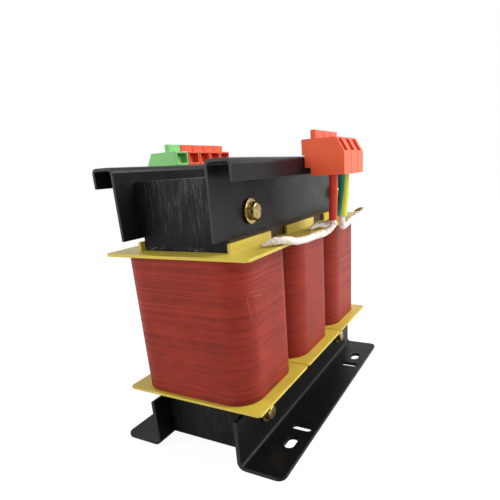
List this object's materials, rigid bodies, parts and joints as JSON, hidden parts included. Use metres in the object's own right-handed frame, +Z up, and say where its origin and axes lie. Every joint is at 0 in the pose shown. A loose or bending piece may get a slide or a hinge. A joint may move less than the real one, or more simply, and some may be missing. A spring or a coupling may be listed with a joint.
{
  "type": "three-phase dry-type transformer",
  "caption": "Open three-phase dry-type transformer: laminated core with a coil on each limb, bent clamps with terminal blocks on top, and slotted angle feet.",
  "frame": {"origin": "on the floor under the mounting feet, at the middle of the overall length and depth", "axes": "+X along the row of coils, the coil with the green block's end of the rear row at -X; -Y is the side of the three-way terminal row; +Z up"},
  "size_m": [0.243, 0.163, 0.2186],
  "materials": {
    "varnished_lamination": "black dipping varnish over stacked electrical steel",
    "black_paint": "satin black paint on bent steel sheet",
    "yellow_glass_board": "satin moulded yellow insulating board",
    "red_varnished_wire": "brick red varnish over close turns of copper wire",
    "enamelled_copper": "red enamelled copper wire, close turns",
    "insulating_paper": "matt brown insulating paper",
    "yellow_zinc_steel": "yellow zinc plating",
    "red_terminal_plastic": "satin orange-red moulding",
    "green_terminal_plastic": "satin light green moulding",
    "red_lead_plastic": "smooth red lead covering",
    "green_yellow_lead_plastic": "smooth lead covering, green with yellow stripes",
    "white_fibreglass_sleeve": "white braided glass fibre sleeve"
  },
  "bodies": {
    "root": {"core_e_stack": "varnished_lamination", "core_top_yoke": "varnished_lamination", "coil_1_former": "yellow_glass_board", "coil_1_inner_winding": "enamelled_copper", "coil_1_layer_wrap": "insulating_paper", "coil_1_outer_winding": "red_varnished_wire", "coil_1_top_flange": "yellow_glass_board", "coil_1_bottom_flange": "yellow_glass_board", "coil_2_former": "yellow_glass_board", "coil_2_inner_winding": "enamelled_copper", "coil_2_layer_wrap": "insulating_paper", "coil_2_outer_winding": "red_varnished_wire", "coil_2_top_flange": "yellow_glass_board", "coil_2_bottom_flange": "yellow_glass_board", "coil_3_former": "yellow_glass_board", "coil_3_inner_winding": "enamelled_copper", "coil_3_layer_wrap": "insulating_paper", "coil_3_outer_winding": "red_varnished_wire", "coil_3_top_flange": "yellow_glass_board", "coil_3_bottom_flange": "yellow_glass_board", "top_clamp_front": "black_paint", "foot_front": "black_paint", "top_clamp_rear": "black_paint", "foot_rear": "black_paint", "front_terminal_1": "red_terminal_plastic", "front_terminal_2": "red_terminal_plastic", "front_terminal_3": "red_terminal_plastic", "rear_terminal_earth": "green_terminal_plastic", "rear_terminal_2": "red_terminal_plastic", "rear_terminal_3": "red_terminal_plastic", "rear_terminal_4": "red_terminal_plastic", "rear_terminal_5": "red_terminal_plastic", "yoke_bolt_top_near": "yellow_zinc_steel", "front_washer_top_near": "yellow_zinc_steel", "rear_washer_top_near": "yellow_zinc_steel", "yoke_nut_top_near": "yellow_zinc_steel", "bolt_bush_top_near": "insulating_paper", "yoke_bolt_top_far": "yellow_zinc_steel", "front_washer_top_far": "yellow_zinc_steel", "rear_washer_top_far": "yellow_zinc_steel", "yoke_nut_top_far": "yellow_zinc_steel", "bolt_bush_top_far": "insulating_paper", "yoke_bolt_bottom_near": "yellow_zinc_steel", "front_washer_bottom_near": "yellow_zinc_steel", "rear_washer_bottom_near": "yellow_zinc_steel", "yoke_nut_bottom_near": "yellow_zinc_steel", "bolt_bush_bottom_near": "insulating_paper", "yoke_bolt_bottom_far": "yellow_zinc_steel", "front_washer_bottom_far": "yellow_zinc_steel", "rear_washer_bottom_far": "yellow_zinc_steel", "yoke_nut_bottom_far": "yellow_zinc_steel", "bolt_bush_bottom_far": "insulating_paper", "lead_coil_1": "red_lead_plastic", "lead_coil_2": "red_lead_plastic", "lead_coil_3": "green_yellow_lead_plastic", "sleeve_coil_1": "white_fibreglass_sleeve", "sleeve_coil_2": "white_fibreglass_sleeve", "sleeve_coil_3": "white_fibreglass_sleeve"}
  },
  "joints": []
}
